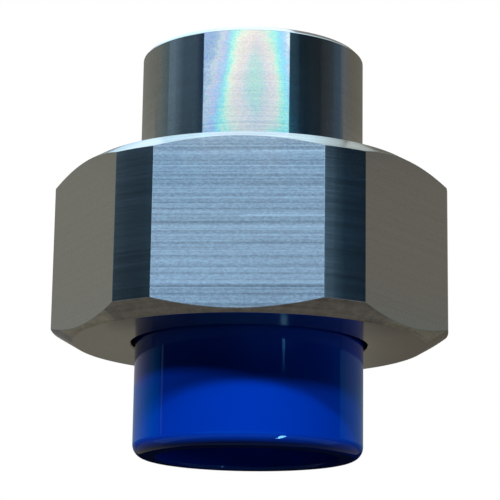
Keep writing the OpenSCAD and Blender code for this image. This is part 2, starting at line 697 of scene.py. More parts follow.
def painted_diffraction_sheen() -> bpy.types.NodeTree:
    """Makes the group that paints the diffraction sheen of fine turning into the steel's colour, as pale
    arches of the colours that light shows there.

    Returns:
        The node group.
    """
    graph, given, out = new_group(
        "painted_diffraction_sheen",
        {"Place": "Vector", "Normal": "Vector", "Top": "Float", "Narrow": "Float", "Widening": "Float"},
        {"Colour": "Color"},
    )
    # Painted sheen: three arches of diffraction colour round the end, widening downwards, stand in for the
    # colours that light shows in the turning marks
    arches, lean, reach = 3, math.radians(4.7), 2.6
    bow_per_m, bow_power, bow_depth = 95.0, 1.5, 0.8
    fleck_scale, patch_scale, grain_scale, grain_share = 2100.0, 600.0, 2600.0, 0.3
    bare_steel = (0.97, 0.97, 0.97)
    span = FULL_TURN / arches
    x, y, z = graph.parts(given["Place"])
    turn = graph.math("ARCTAN2", x, graph.times(y, -1.0))
    shifted = graph.minus(turn, lean)
    nearest = graph.times(graph.math("ROUND", graph.math("DIVIDE", shifted, span)), span)
    offset = graph.minus(shifted, nearest)
    drop = graph.minus(given["Top"], z)
    half = graph.plus(given["Narrow"], graph.times(drop, given["Widening"]))
    share = graph.math("DIVIDE", offset, half)
    bow = graph.math("ABSOLUTE", graph.minus(graph.times(drop, bow_per_m), 1.0))
    rise = graph.times(graph.math("POWER", bow, bow_power), bow_depth)
    inside = graph.minus(1.0, graph.math("MINIMUM", graph.math("ABSOLUTE", share), 1.0))
    bent = graph.times(graph.math("SIGN", share), graph.times(rise, inside))
    phase = graph.plus(share, bent)
    loose = graph.fit(graph.math("ABSOLUTE", phase), 1.0, 1.6, 0.28, 0.75)
    fleck = graph.minus(graph.noise(given["Place"], fleck_scale, 2.0, 0.6), 0.5)
    patch = graph.minus(graph.noise(given["Place"], patch_scale, 2.0, 0.6), 0.5)
    phase = graph.plus(phase, graph.times(graph.plus(fleck, patch), loose))
    scaled = graph.plus(graph.math("DIVIDE", phase, 2 * reach), 0.5)
    arch = graph.ramp(scaled, [((place + reach) / (2 * reach), colour) for place, colour in PAINTED_SHEEN_COLOURS])
    grain = graph.add("TexNoise")
    graph.feed(grain.inputs["Vector"], given["Place"])
    graph.feed(grain.inputs["Scale"], grain_scale)
    graph.feed(grain.inputs["Detail"], 1.0)
    speckled = graph.blend(grain_share, arch, grain.outputs["Color"], "OVERLAY")
    facing_up = graph.parts(given["Normal"])[2]
    on_wall = graph.math("LESS_THAN", graph.math("ABSOLUTE", facing_up), 0.3)
    near = graph.fit(graph.math("ABSOLUTE", offset), 0.46, 0.55, 1.0, 0.0)
    graph.feed(out["Colour"], graph.blend(graph.times(on_wall, near), bare_steel, speckled))
    return graph.tree


@dataclass(frozen=True)
class Finish:
    """What every finish shares: a name, a Principled shader and the coordinates that it reads.

    Args:
        name: the material's name.
        colour: its base colour.
        roughness: its middle roughness.
    """

    name: str
    colour: Colour
    roughness: float

    def start(self) -> tuple[bpy.types.Material, Graph, bpy.types.Node, bpy.types.Node]:
        """Makes the material with its shader and coordinates.

        Returns:
            The material, its graph, its Principled node and its Texture Coordinate node.
        """
        material = bpy.data.materials.new(self.name)
        material.use_nodes = True
        graph = Graph(material.node_tree)
        shader = material.node_tree.nodes["Principled BSDF"]
        shader.inputs["Base Color"].default_value = (*self.colour, 1.0)
        shader.inputs["Roughness"].default_value = self.roughness
        return material, graph, shader, graph.add("TexCoord")

    @staticmethod
    def relieve(
        graph: Graph, shader: bpy.types.Node, height: Socket, depth: float, share: float = 1.0
    ) -> None:
        """Makes the surface rise and fall.

        Args:
            graph: the material's graph.
            shader: its Principled node.
            height: the height of the relief, from 0 to 1.
            depth: its full depth, in metres.
            share: how strongly it shows.
        """
        bump = graph.add("Bump")
        bump.inputs["Distance"].default_value = depth
        bump.inputs["Strength"].default_value = share
        graph.feed(bump.inputs["Height"], height)
        graph.feed(shader.inputs["Normal"], bump.outputs[0])


@dataclass(frozen=True)
class Groups:
    """The node groups that the metal finishes share.

    Args:
        marks: lines and grain left by a tool.
        scores: the lines that stand out on milled flats.
        painted_sheen: the diffraction sheen that is painted into the colour of fine turning.
    """

    marks: bpy.types.NodeTree
    scores: bpy.types.NodeTree
    painted_sheen: bpy.types.NodeTree


@dataclass(frozen=True)
class MetalFinish(Finish):
    """Machined stainless steel.

    Args:
        feed: how many tool passes lie in a metre.
        fine: how many fine lines lie in a metre.
        along: how quickly a line changes along itself, per metre.
        contrast: how much the lines change the steel's tone.
        grain: how much the fine grain changes it.
        mottle: how much the speckle on chamfers changes it.
        relief: depth of the marks, in metres.
        stretch: how much the marks stretch a highlight across them.
        heavy_flat_darkening: how much darker the heavily marked flats are.
        scored: True for milled flats, with their stand-out lines.
        sheen: True where the diffraction sheen of fine turning is painted into its colour.
        painted_mirror_brightness: the colour that takes the place of the painted sheen where the end is
            mirrored in another piece; being above white, it paints those reflections brighter.
    """

    feed: float = 800.0
    fine: float = 3600.0
    along: float = 14.0
    contrast: float = 0.15
    grain: float = 0.05
    mottle: float = 0.15
    relief: float = 0.000002
    stretch: float = 1.0
    heavy_flat_darkening: float = 0.25
    scored: bool = False
    sheen: bool = False
    painted_mirror_brightness: Colour = (1.25, 1.25, 1.25)

    # Colours of the flats' grain, from its dark to its light specks; their faint lavender and green tints
    # paint the diffraction sheen of the milling marks
    GRAIN_AND_SHEEN_COLOURS = ((0.60, 0.58, 0.60), (0.585, 0.605, 0.59))

    def make(self, groups: Groups) -> bpy.types.Material:
        """Builds the material.

        Args:
            groups: the node groups that it uses.

        Returns:
            The material.
        """
        material, graph, shader, coordinates = self.start()
        place, normal = coordinates.outputs["Object"], coordinates.outputs["Normal"]
        tool = graph.use(groups.marks, {
            "Place": place,
            "Normal": normal,
            "Feed per m": self.feed,
            "Fine per m": self.fine,
            "Along per m": self.along,
        })
        lines = graph.times(graph.minus(tool["Lines"], 0.5), self.contrast * 2)
        grain = graph.times(graph.minus(tool["Grain"], 0.5), self.grain * 2)
        tint = graph.blend(tool["Cloud"], tuple(c * 0.985 for c in self.colour), self.colour)
        if self.scored:
            lines, grain = self.heavier_on_every_other_flat(graph, groups, place, lines, grain)
            tint = graph.blend(tool["Grain"], *self.GRAIN_AND_SHEEN_COLOURS)
        mottle = graph.times(tool["Mottle"], self.mottle * 2)
        tone = graph.plus(graph.plus(lines, grain), graph.plus(mottle, 1.0))
        colour = graph.blend(1.0, tint, tone, "MULTIPLY")
        # Painted sheen: the diffraction colours of the turning are multiplied into the steel's colour
        if self.sheen:
            painted_sheen = graph.use(groups.painted_sheen, {
                "Place": place,
                "Normal": normal,
                "Top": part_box("threaded_end")[1].z,
                "Narrow": 0.180,
                "Widening": 7.0,
            })
            # Where the end is mirrored in another piece, painted_mirror_brightness replaces the painted
            # sheen, and being above white it paints that reflection brighter
            mirrored = graph.add("LightPath").outputs["Is Glossy Ray"]
            sheen = graph.blend(mirrored, painted_sheen["Colour"], self.painted_mirror_brightness)
            colour = graph.blend(1.0, colour, sheen, "MULTIPLY")
        graph.feed(shader.inputs["Base Color"], colour)
        spread = graph.fit(tool["Cloud"], 0.0, 1.0, self.roughness * 0.93, self.roughness * 1.07)
        graph.feed(shader.inputs["Roughness"], spread)
        shader.inputs["Metallic"].default_value = 1.0
        shader.inputs["Anisotropic"].default_value = self.stretch
        shader.inputs["Anisotropic Rotation"].default_value = 0.25
        round_the_axis = graph.add("Tangent", direction_type="RADIAL", axis="Z")
        graph.feed(shader.inputs["Tangent"], round_the_axis.outputs[0])
        self.relieve(graph, shader, tool["Lines"], self.relief)
        return material

    def heavier_on_every_other_flat(
        self, graph: Graph, groups: Groups, place: Socket, lines: Socket, grain: Socket
    ) -> tuple[Socket, Socket]:
        """Adds the stand-out lines, keeps the marks strong on every other flat only, and makes those flats
        darker.

        Args:
            graph: the material's graph.
            groups: the node groups.
            place: object coordinates.
            lines: the tone of the plain lines.
            grain: the tone of the grain.

        Returns:
            The tones of all lines and of the grain.
        """
        tone = graph.use(groups.scores, {"Place": place})["Tone"]
        x, y, _ = graph.parts(place)
        turn = graph.math("ARCTAN2", x, graph.times(y, -1.0))
        heavy = graph.fit(graph.math("COSINE", graph.times(turn, 3.0)), -0.3, 0.3, 0.12, 1.0)
        stand_out = graph.times(graph.minus(tone, 0.5), 0.9)
        part = graph.plus(graph.times(heavy, 0.65), 0.35)
        # Every other flat, the heavily marked ones, is made darker all over
        darker = graph.times(heavy, -self.heavy_flat_darkening)
        all_lines = graph.times(graph.plus(lines, stand_out), heavy)
        return graph.plus(all_lines, darker), graph.times(grain, part)


@dataclass(frozen=True)
class PlasticFinish(Finish):
    """Glossy moulded plastic with the faintest orange peel.

    Args:
        peel: depth of the ripple, in metres.
        sheen: tint of its gloss where it is seen square on.
    """

    peel: float = 0.00002
    sheen: Colour = (0.15, 0.55, 1.0)

    def make(self) -> bpy.types.Material:
        """Builds the material and returns it."""
        material, graph, shader, coordinates = self.start()
        shader.inputs["Specular Tint"].default_value = (*self.sheen, 1.0)
        cloud = graph.noise(coordinates.outputs["Object"], 120.0, 3.0, 0.5)
        deep = tuple(c * 0.97 for c in self.colour)
        shade = graph.blend(graph.fit(cloud, 0.35, 0.65), deep, self.colour)
        graph.feed(shader.inputs["Base Color"], shade)
        smear = graph.noise(coordinates.outputs["Object"], 45.0, 4.0, 0.6)
        spread = graph.fit(smear, 0.35, 0.7, self.roughness * 0.8, self.roughness * 1.2)
        graph.feed(shader.inputs["Roughness"], spread)
        ripple = graph.noise(coordinates.outputs["Object"], 260.0, 1.0, 0.5)
        self.relieve(graph, shader, ripple, self.peel, 0.2)
        return material


@dataclass(frozen=True)
class RubberFinish(Finish):
    """Matt moulded rubber with a fine grain."""

    # Depth of the grain, in metres
    GRAIN_DEPTH = 0.00002

    def make(self) -> bpy.types.Material:
        """Builds the material and returns it."""
        material, graph, shader, coordinates = self.start()
        grain = graph.noise(coordinates.outputs["Object"], 1800.0, 3.0, 0.6)
        pale = tuple(c * 1.6 for c in self.colour)
        shade = graph.blend(graph.fit(grain, 0.4, 0.7), self.colour, pale)
        graph.feed(shader.inputs["Base Color"], shade)
        spread = graph.fit(grain, 0.3, 0.7, self.roughness * 0.9, self.roughness)
        graph.feed(shader.inputs["Roughness"], spread)
        self.relieve(graph, shader, grain, self.GRAIN_DEPTH)
        return material


@dataclass
class Workshop:
    """All the finishes of the union, each made once.

    Attributes:
        turned: steel of the nut's turned corners, chamfers and upper face.
        fine_turned: steel of the threaded end.
        milled: steel of the nut's flats.
        thread: steel of all threads.
        faced: steel of the nut's lower face.
        plastic: the tail's blue plastic.
        rubber: the O-ring's rubber.
    """

    turned: bpy.types.Material = field(init=False)
    fine_turned: bpy.types.Material = field(init=False)
    milled: bpy.types.Material = field(init=False)
    thread: bpy.types.Material = field(init=False)
    faced: bpy.types.Material = field(init=False)
    plastic: bpy.types.Material = field(init=False)
    rubber: bpy.types.Material = field(init=False)

    def __post_init__(self) -> None:
        """Builds the node groups and then the materials."""
        groups = Groups(tool_marks(), milled_scores(), painted_diffraction_sheen())
        steel = (0.60, 0.60, 0.60)
        self.turned = MetalFinish(
            "turned_steel", steel, 0.085, contrast=0.16, feed=1100.0, along=30.0
        ).make(groups)
        self.fine_turned = MetalFinish(
            "fine_turned_steel", (0.80, 0.80, 0.80), 0.07, contrast=0.03, grain=0.05, sheen=True
        ).make(groups)
        self.milled = MetalFinish(
            "milled_steel_flats", steel, 0.07, contrast=0.155, grain=0.10, feed=1750.0, fine=4400.0,
            along=6.0, relief=0.0000006, scored=True,
        ).make(groups)
        self.thread = MetalFinish("cut_thread_steel", steel, 0.24, contrast=0.08).make(groups)
        self.faced = MetalFinish(
            "faced_steel", steel, 0.115, contrast=0.10, feed=1100.0, along=30.0
        ).make(groups)
        self.plastic = PlasticFinish("blue_moulded_plastic", (0.0, 0.036, 0.47), 0.06).make()
        self.rubber = RubberFinish("seal_rubber", (0.012, 0.012, 0.013), 0.62).make()


JOINT_THREAD = ThreadForm(major_radius=26.875, pitch=2.309)
PIPE_THREAD = ThreadForm(major_radius=16.625, pitch=2.309)


@dataclass
class UnionNut:
    """The hex union nut: a turned blank, milled on six sides and threaded inside.

    Args:
        flats: width across the flats, in mm.
        corner_radius: radius to which the corners are turned, in mm.
        lower_face_radius: radius of the flat lower face, in mm.
        upper_face_radius: radius of the flat upper face, in mm.
        chamfer_angle: angle of both chamfers to the faces, in degrees.
        hole_radius: radius of the hole in the shoulder, in mm.
        hole_edge: chamfer on both edges of that hole, in mm.
        shoulder: thickness of the shoulder, in mm.
        relief_radius: radius of the groove above the shoulder, in mm.
        relief_height: height of that groove, in mm.
        mouth_radius: radius of the countersink at the upper face, in mm.
        edge: width of the broken edges, in mm.
    """

    flats: float = 65.0
    corner_radius: float = 35.49
    lower_face_radius: float = 31.5
    upper_face_radius: float = 30.2
    chamfer_angle: float = 30.0
    hole_radius: float = 21.15
    hole_edge: float = 0.2
    shoulder: float = 5.5
    relief_radius: float = 27.175
    relief_height: float = 2.6
    mouth_radius: float = 27.586
    edge: float = 0.05

    def profile(self) -> list[Corner]:
        """Gives the section of the blank and its bore.

        Returns:
            The corners, from the hole's lower edge round the outside.
        """
        low, high = (corner.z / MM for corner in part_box("union_nut"))
        slope = math.tan(math.radians(self.chamfer_angle))
        seat, relief_top = low + self.shoulder, low + self.shoulder + self.relief_height
        root = JOINT_THREAD.major_radius
        edge = self.edge
        return [
            Corner(self.hole_radius + self.hole_edge, low, edge),
            Corner(self.lower_face_radius, low, edge),
            Corner(self.corner_radius, low + (self.corner_radius - self.lower_face_radius) * slope, edge),
            Corner(self.corner_radius, high - (self.corner_radius - self.upper_face_radius) * slope, edge),
            Corner(self.upper_face_radius, high, edge),
            Corner(self.mouth_radius, high, edge),
            Corner(root, high - (self.mouth_radius - root), edge),
            Corner(root, relief_top + self.relief_radius - root),
            Corner(self.relief_radius, relief_top),
            Corner(self.relief_radius, seat),
            Corner(self.hole_radius + self.hole_edge, seat),
            Corner(self.hole_radius, seat - self.hole_edge),
            Corner(self.hole_radius, low + self.hole_edge),
        ]

    def mill_flats(self, nut: bpy.types.Object) -> None:
        """Cuts the six flats from the turned blank and breaks their edges.

        Args:
            nut: the turned blank.
        """
        sides = 6
        turns = [FULL_TURN * side / sides for side in range(sides)]
        normals = [Vector((math.sin(turn), -math.cos(turn), 0)) for turn in turns]
        Bench.edit(nut)
        for normal in normals:
            bpy.ops.mesh.select_all(action="SELECT")
            bpy.ops.mesh.bisect(
                plane_co=normal * self.flats / 2 * MM,
                plane_no=normal,
                use_fill=True,
                clear_outer=True,
            )
        Bench.close()
        for face in nut.data.polygons:
            for normal in normals:
                on_plane = abs(face.center.dot(normal) - self.flats / 2 * MM) < MM / 1000
                if on_plane and face.normal.dot(normal) > 0.9999:
                    face.material_index = Surface.MILLED.value
        Bench.edit(nut)
        mesh = bmesh.from_edit_mesh(nut.data)
        bpy.ops.mesh.select_mode(type="EDGE")
        for edge in mesh.edges:
            edge.select = len({face.material_index for face in edge.link_faces}) == 2
        bmesh.update_edit_mesh(nut.data)
        bpy.ops.mesh.bevel(offset=self.edge * MM, segments=2, affect="EDGES", clamp_overlap=True)
        bpy.ops.mesh.select_mode(type="VERT")
        Bench.close()

    def build(self, shop: Workshop) -> bpy.types.Object:
        """Turns, mills and threads the nut, and dresses it.

        Args:
            shop: the finishes.

        Returns:
            The nut.
        """
        low, high = (corner.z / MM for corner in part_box("union_nut"))
        nut = Bench.lathe("hex_union_nut", self.profile())
        Bench.dress(nut, shop.turned, shop.milled, shop.thread, shop.faced)
        self.mill_flats(nut)
        for face in nut.data.polygons:
            if face.normal.z < -0.99 and face.center.z < (low + self.edge) * MM:
                face.material_index = Surface.FACED.value
        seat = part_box("threaded_end")[0].z / MM
        first = seat + ThreadedEnd.FIRST_RIDGE - JOINT_THREAD.pitch / 2
        relief_top = low + self.shoulder + self.relief_height
        thread = ThreadCut(
            "nut_thread", JOINT_THREAD, first, 9, True,
            (self.relief_radius, relief_top), (self.mouth_radius, high),
        ).cut()
        Bench.dress(thread, shop.thread)
        Bench.join(nut, thread)
        Bench.smooth(nut)
        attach(nut, "nut")
        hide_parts("union_nut")
        return nut


@dataclass
class ThreadedEnd:
    """The steel end: a turned body with a threaded collar, a seal groove and a female pipe thread.

    Args:
        radius: outside radius of the tube, in mm.
        collar_height: height of the threaded collar, in mm.
        collar_face_radius: radius of the collar's end faces, inside its chamfers, in mm.
        waterway_radius: radius of the passage, in mm.
        cone_angle: angle from the axis of the cone that leads into it, in degrees.
        groove_middle: radius of the seal groove's middle, in mm.
        groove_width: width of the groove, in mm.
        groove_depth: depth of the groove, in mm.
        pipe_depth: depth of the pipe thread, in mm.
        mouth_radius: radius of the countersink at the top, in mm.
        rim: chamfer on the outer rim, in mm.
        edge: width of the broken edges, in mm.
    """

    radius: float = 20.2
    collar_height: float = 18.25
    collar_face_radius: float = 24.64
    waterway_radius: float = 13.0
    cone_angle: float = 60.0
    groove_middle: float = 17.0
    groove_width: float = 3.91
    groove_depth: float = 2.3
    pipe_depth: float = 20.0
    mouth_radius: float = 17.025
    rim: float = 0.8
    edge: float = 0.12

    # Height of the collar's first ridge above the seal face, in mm
    FIRST_RIDGE = 0.9

    def profile(self) -> list[Corner]:
        """Gives the section of the body, with the walls at the threads' roots.

        Returns:
            The corners, from the waterway's lower edge round the outside.
        """
        seat, top = (corner.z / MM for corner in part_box("threaded_end"))
        collar_top = seat + self.collar_height
        core = JOINT_THREAD.minor_radius - JOINT_THREAD.play
        lead = core - self.collar_face_radius
        root, minor = PIPE_THREAD.major_radius, PIPE_THREAD.minor_radius
        floor = top - self.pipe_depth
        half = self.groove_width / 2
        inner, outer = self.groove_middle - half, self.groove_middle + half
        cone = (minor - self.waterway_radius) / math.tan(math.radians(self.cone_angle))
        edge = self.edge
        return [
            Corner(self.waterway_radius, seat, edge),
            Corner(inner, seat, edge),
            Corner(inner, seat + self.groove_depth),
            Corner(outer, seat + self.groove_depth),
            Corner(outer, seat, edge),
            Corner(self.collar_face_radius, seat, edge),
            Corner(core, seat + lead, edge),
            Corner(core, collar_top - lead, edge),
            Corner(self.collar_face_radius, collar_top, edge),
            Corner(self.radius, collar_top, edge),
            Corner(self.radius, top - self.rim, edge),
            Corner(self.radius - self.rim, top, edge),
            Corner(self.mouth_radius, top, edge),
            Corner(root, top - self.mouth_radius + root, edge),
            Corner(root, floor + PIPE_THREAD.pitch),
            Corner(minor, floor),
            Corner(self.waterway_radius, floor - cone, edge),
        ]

    def build(self, shop: Workshop) -> bpy.types.Object:
        """Turns the body, cuts both threads, and dresses it.

        Args:
            shop: the finishes.

        Returns:
            The steel end.
        """
        seat, top = (corner.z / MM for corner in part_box("threaded_end"))
        body = Bench.lathe("steel_threaded_end", self.profile())
        Bench.dress(body, shop.fine_turned, shop.thread)
        collar_top, floor = seat + self.collar_height, top - self.pipe_depth
        collar = ThreadCut(
            "collar_thread", JOINT_THREAD, seat + self.FIRST_RIDGE, 7, False,
            (self.collar_face_radius, seat), (self.collar_face_radius, collar_top),
        ).cut()
        pipe = ThreadCut(
            "pipe_thread", PIPE_THREAD, floor + PIPE_THREAD.pitch / 2, 8, True,
            (PIPE_THREAD.major_radius, floor), (self.mouth_radius, top),
        ).cut()
        for thread in (collar, pipe):
            Bench.dress(thread, shop.thread)
        Bench.join(body, collar, pipe)
        Bench.smooth(body)
        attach(body, "end")
        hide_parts("threaded_end")
        return body


@dataclass
class SocketTail:
    """The moulded plastic tail: a rounded tube with a pipe socket, a stop and a flange.

    Args:
        radius: outside radius of the tube, in mm.
        end_round: radius of the rounded outer end, in mm.
        socket_radius: radius of the pipe socket, in mm.
        socket_depth: depth of the socket, in mm.
        mouth_lead: chamfer at the socket's mouth, in mm.
        waterway_radius: radius of the passage, in mm.
        flange_radius: radius of the flange, in mm.
        flange_height: thickness of the flange, in mm.
        edge: width of the rounded small edges, in mm.
    """

    radius: float = 20.4
    end_round: float = 2.25
    socket_radius: float = 16.05
    socket_depth: float = 22.0
    mouth_lead: float = 0.5
    waterway_radius: float = 13.0
    flange_radius: float = 25.0
    flange_height: float = 5.5
    edge: float = 0.4

    def profile(self) -> list[Corner]:
        """Gives the section of the tail.

        Returns:
            The corners, from the socket's mouth round the outside.
        """
        low, seat = (corner.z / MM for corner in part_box("socket_tail"))
        flange = seat - self.flange_height
        edge = self.edge
        return [
            Corner(self.socket_radius + self.mouth_lead, low, 0.03),
            Corner(self.radius, low, self.end_round),
            Corner(self.radius, flange, edge),
            Corner(self.flange_radius, flange, edge),
            Corner(self.flange_radius, seat, edge),
            Corner(self.waterway_radius, seat, edge / 2),
            Corner(self.waterway_radius, self.socket_depth, edge),
            Corner(self.socket_radius, self.socket_depth, edge),
            Corner(self.socket_radius, low + self.mouth_lead, 0.03),
        ]

    def build(self, shop: Workshop) -> bpy.types.Object:
        """Turns the tail's form and dresses it.

        Args:
            shop: the finishes.

        Returns:
            The tail.
        """
        tail = Bench.lathe("blue_socket_tail", self.profile())
        Bench.smooth(tail)
        Bench.dress(tail, shop.plastic)
        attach(tail, "tail")
        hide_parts("socket_tail")
        return tail


def round_the_object(turn: float, rise: float) -> Vector:
    """Gives a direction from the object.

    Args:
        turn: degrees round the object from the front, positive to the right.
        rise: degrees above the horizon.

    Returns:
        The unit direction.
    """
    aside, above = math.radians(turn), math.radians(rise)
    level = math.cos(above)
    return Vector((math.sin(aside) * level, -math.cos(aside) * level, math.sin(above)))


def show_in_gloss_only(card: bpy.types.Object) -> None:
    """Hides a panel or card of the studio from all but reflections.

    Args:
        card: the object to hide.
    """
    card.visible_camera = card.visible_diffuse = card.visible_shadow = False
    card.visible_transmission = card.visible_volume_scatter = False


@dataclass(frozen=True)
class Panel:
    """One reflection panel of the studio, seen only in the object's gloss.

    Args:
        name: its name.
        turns: its left and right edges, in degrees round the object from the front.
        rises: its lower and upper edges, in degrees above the horizon.
        colour: what it shows at its left edge.
        far_colour: what it shows at its right edge, where that differs.
        distance: how far it stands from the object, in metres.
        clear: True where it adds its light to what stands behind it.
    """

    name: str
    turns: Span
    rises: Span
    colour: Colour
    far_colour: Colour | None = None
    distance: float = 10.0
    clear: bool = False

    # Name of the panels' colour attribute and material
    GLOW = "panel_glow"

    @classmethod
    def glow(cls, clear: bool = False) -> bpy.types.Material:
        """Makes the material that panels share, which shines with each panel's own colours.

        Args:
            clear: True for the see-through kind.

        Returns:
            The material.
        """
        name = "clear_" + cls.GLOW if clear else cls.GLOW
        material = bpy.data.materials.get(name)
        if material is None:
            material = bpy.data.materials.new(name)
            material.use_nodes = True
            nodes = material.node_tree.nodes
            nodes.remove(nodes["Principled BSDF"])
            graph = Graph(material.node_tree)
            shine = graph.add("Emission")
            own_colour = graph.add("Attribute", attribute_name=cls.GLOW)
            graph.feed(shine.inputs["Color"], own_colour.outputs["Color"])
            surface = shine.outputs[0]
            if clear:
                both = graph.add("AddShader")
                graph.feed(both.inputs[0], surface)
                graph.feed(both.inputs[1], graph.add("BsdfTransparent").outputs[0])
                surface = both.outputs[0]
            graph.feed(nodes["Material Output"].inputs["Surface"], surface)
            material.cycles.emission_sampling = "NONE"
        return material

    def build(self) -> bpy.types.Object:
        """Shapes the panel as a patch of a sphere round the object.

        Returns:
            The panel.
        """
        (left, right), (low, high) = self.turns, self.rises
        columns = max(2, round((right - left) / 5))
        rows = max(2, round((high - low) / 5))
        bpy.ops.object.select_all(action="DESELECT")
        bpy.ops.mesh.primitive_grid_add(x_subdivisions=columns, y_subdivisions=rows, size=1.0)
        panel = bpy.context.object
        panel.name = self.name
        near, far = Vector(self.colour), Vector(self.far_colour or self.colour)
        colours = panel.data.color_attributes.new(self.GLOW, "FLOAT_COLOR", "POINT")
        for vert, colour in zip(panel.data.vertices, colours.data):
            share, up = vert.co.x + 0.5, vert.co.y + 0.5
            turn, rise = left + (right - left) * share, low + (high - low) * up
            vert.co = round_the_object(turn, rise) * self.distance
            colour.color = (*near.lerp(far, share), 1.0)
        panel.data.materials.append(self.glow(self.clear))
        show_in_gloss_only(panel)
        return panel


@dataclass(frozen=True)
class Flag:
    """A black card behind the object, which keeps light out of the gloss of the tail's end.

    Args:
        behind: its distance behind the axis, in mm.
        half_width: half its width, in mm.
        top: height of its upper edge, in mm.
        bottom: height of its lower edge, in mm.
    """

    behind: float = 50.0
    half_width: float = 34.0
    top: float = 4.0
    bottom: float = -72.0

    BLACK = (0.003, 0.004, 0.006, 1.0)

    def build(self) -> bpy.types.Object:
        """Stands the card up.

        Returns:
            The card.
        """
        middle = Vector((0, self.behind, (self.top + self.bottom) / 2)) * MM
        bpy.ops.object.select_all(action="DESELECT")
        bpy.ops.mesh.primitive_plane_add(size=MM, location=middle, rotation=(math.pi / 2, 0, 0))
        card = bpy.context.object
        card.name = "black_flag"
        card.scale = (2 * self.half_width, self.top - self.bottom, 1)
        bpy.ops.object.transform_apply(location=False, rotation=True, scale=True)
        colours = card.data.color_attributes.new(Panel.GLOW, "FLOAT_COLOR", "POINT")
        for colour in colours.data:
            colour.color = self.BLACK
        card.data.materials.append(Panel.glow())
        show_in_gloss_only(card)
        return card


@dataclass(frozen=True)
class Lamp:
    """One soft lamp, which lights the matt surfaces and isn't mirrored.

    Args:
        name: its name.
        turn: degrees round the object from the front, positive to the right.
        rise: degrees above the horizon.
        width: how wide it looks from the object, in degrees.
        height: how high it looks, in degrees.
        light: how brightly it lights a white sheet that faces it.
    """

    name: str
    turn: float
    rise: float
    width: float
    height: float
    light: float

    # Distance of every lamp from the object, and the point that all aim at, in metres
    DISTANCE = 4.0
    AIM = Vector((0, 0, 0.01))

    def build(self) -> None:
        """Hangs the lamp so that it faces the object."""
        data = bpy.data.lights.new(self.name, "AREA")
        data.shape = "RECTANGLE"
        data.size = self.DISTANCE * math.radians(self.width)
        data.size_y = self.DISTANCE * math.radians(self.height)
        data.energy = self.light * math.pi * math.pi * self.DISTANCE**2
        lamp = bpy.data.objects.new(self.name, data)
        bpy.context.scene.collection.objects.link(lamp)
        back = round_the_object(self.turn, self.rise)
        lamp.location = self.AIM + back * self.DISTANCE
        lamp.rotation_euler = back.to_track_quat("Z", "Y").to_euler()
        lamp.visible_glossy = lamp.visible_camera = False


# Directions round the object
ALL_ROUND: Span = (-180.0, 180.0)
WINDOW: Span = (-48.5, 41.5)
# Bands of height, from straight below to straight above
FLOOR: Span = (-89.9, -40.0)
GROUND: Span = (-40.0, -8.8)
HORIZON: Span = (-8.8, 6.6)
LOW: Span = (6.6, 9.0)
EAVES: Span = (9.0, 10.2)
SILL: Span = (6.6, 11.0)
MIDDLE: Span = (10.2, 16.2)
HIGH: Span = (16.2, 30.0)
SKY: Span = (30.0, 62.0)
ZENITH: Span = (62.0, 89.9)

LAMPS = (
    Lamp("key_light_left", -6.0, 38.5, 3.0, 2.5, 0.265),
    Lamp("key_light_right", -0.3, 40.6, 3.0, 2.5, 0.36),
    Lamp("window_left", -41.0, 32.0, 10.0, 5.0, 0.29),
    Lamp("window_right", 26.5, 38.0, 18.0, 5.0, 0.40),
    Lamp("low_fill_right", 80.0, -3.5, 20.0, 7.0, 0.068),
    Lamp("floor_bounce", 0.0, -52.0, 60.0, 30.0, 0.034),
    Lamp("side_fill_left", -125.0, 26.0, 30.0, 36.0, 0.62),
    Lamp("side_fill_right", 135.0, 4.0, 30.0, 14.0, 0.25),
    Lamp("back_light", 180.0, 35.0, 30.0, 20.0, 0.35),
)
FRONT_PANELS = (
    Panel("front_shine", WINDOW, HORIZON, (0.0, 0.44, 0.76), distance=9.5, clear=True),
    Panel("front_horizon", (-105, 107), HORIZON, (0.09, 0.10, 0.11)),
    Panel("window_sill", WINDOW, SILL, (0.004, 0.006, 0.010)),
    Panel("window_foot", WINDOW, (11.0, 12.4), (0.79, 1.34, 1.99)),
    Panel("window_low", WINDOW, (12.4, 13.8), (0.50, 0.735, 1.00)),
    Panel("window_bar", WINDOW, (13.8, 15.2), (0.52, 0.81, 1.07)),
    Panel("window_lintel", WINDOW, (15.2, 16.2), (0.0, 0.38, 0.99)),
    Panel("window_base", WINDOW, (16.2, 17.2), (0.74, 1.17, 1.44)),
    Panel("window_middle", (-48.5, 37.5), (17.2, 24.0), (1.25, 1.37, 1.50)),
    Panel("window_edge", (37.5, 41.5), (17.2, 24.0), (1.52, 1.44, 1.44)),
    Panel("window_high", WINDOW, (24.0, 30.0), (0.28, 0.50, 0.80)),
    Panel("key_sky", (-48.5, 50.0), (35.0, 47.0), (1.02, 1.33, 1.58)),
    Panel("eaves_sky", (-48.5, 50.0), (30.0, 35.0), (0.80, 1.00, 1.15)),
    Panel("upper_sky", (-65.0, 80.0), (47.0, 62.0), (0.62, 0.76, 0.88)),
    Panel("ground_front", (-110, 110), (-40.0, -15.5), (0.36, 0.39, 0.42)),
    Panel("ground_edge", (-110, 110), (-15.5, -8.8), (0.03, 0.04, 0.05)),
    Panel("glare", (37.0, 39.4), (9.95, 12.0), (2.8, 3.3, 3.8), distance=9.0, clear=True),
    Panel("glint", (37.0, 43.5), (-46.0, -20.0), (36.0, 31.0, 28.0), distance=9.0, clear=True),
)
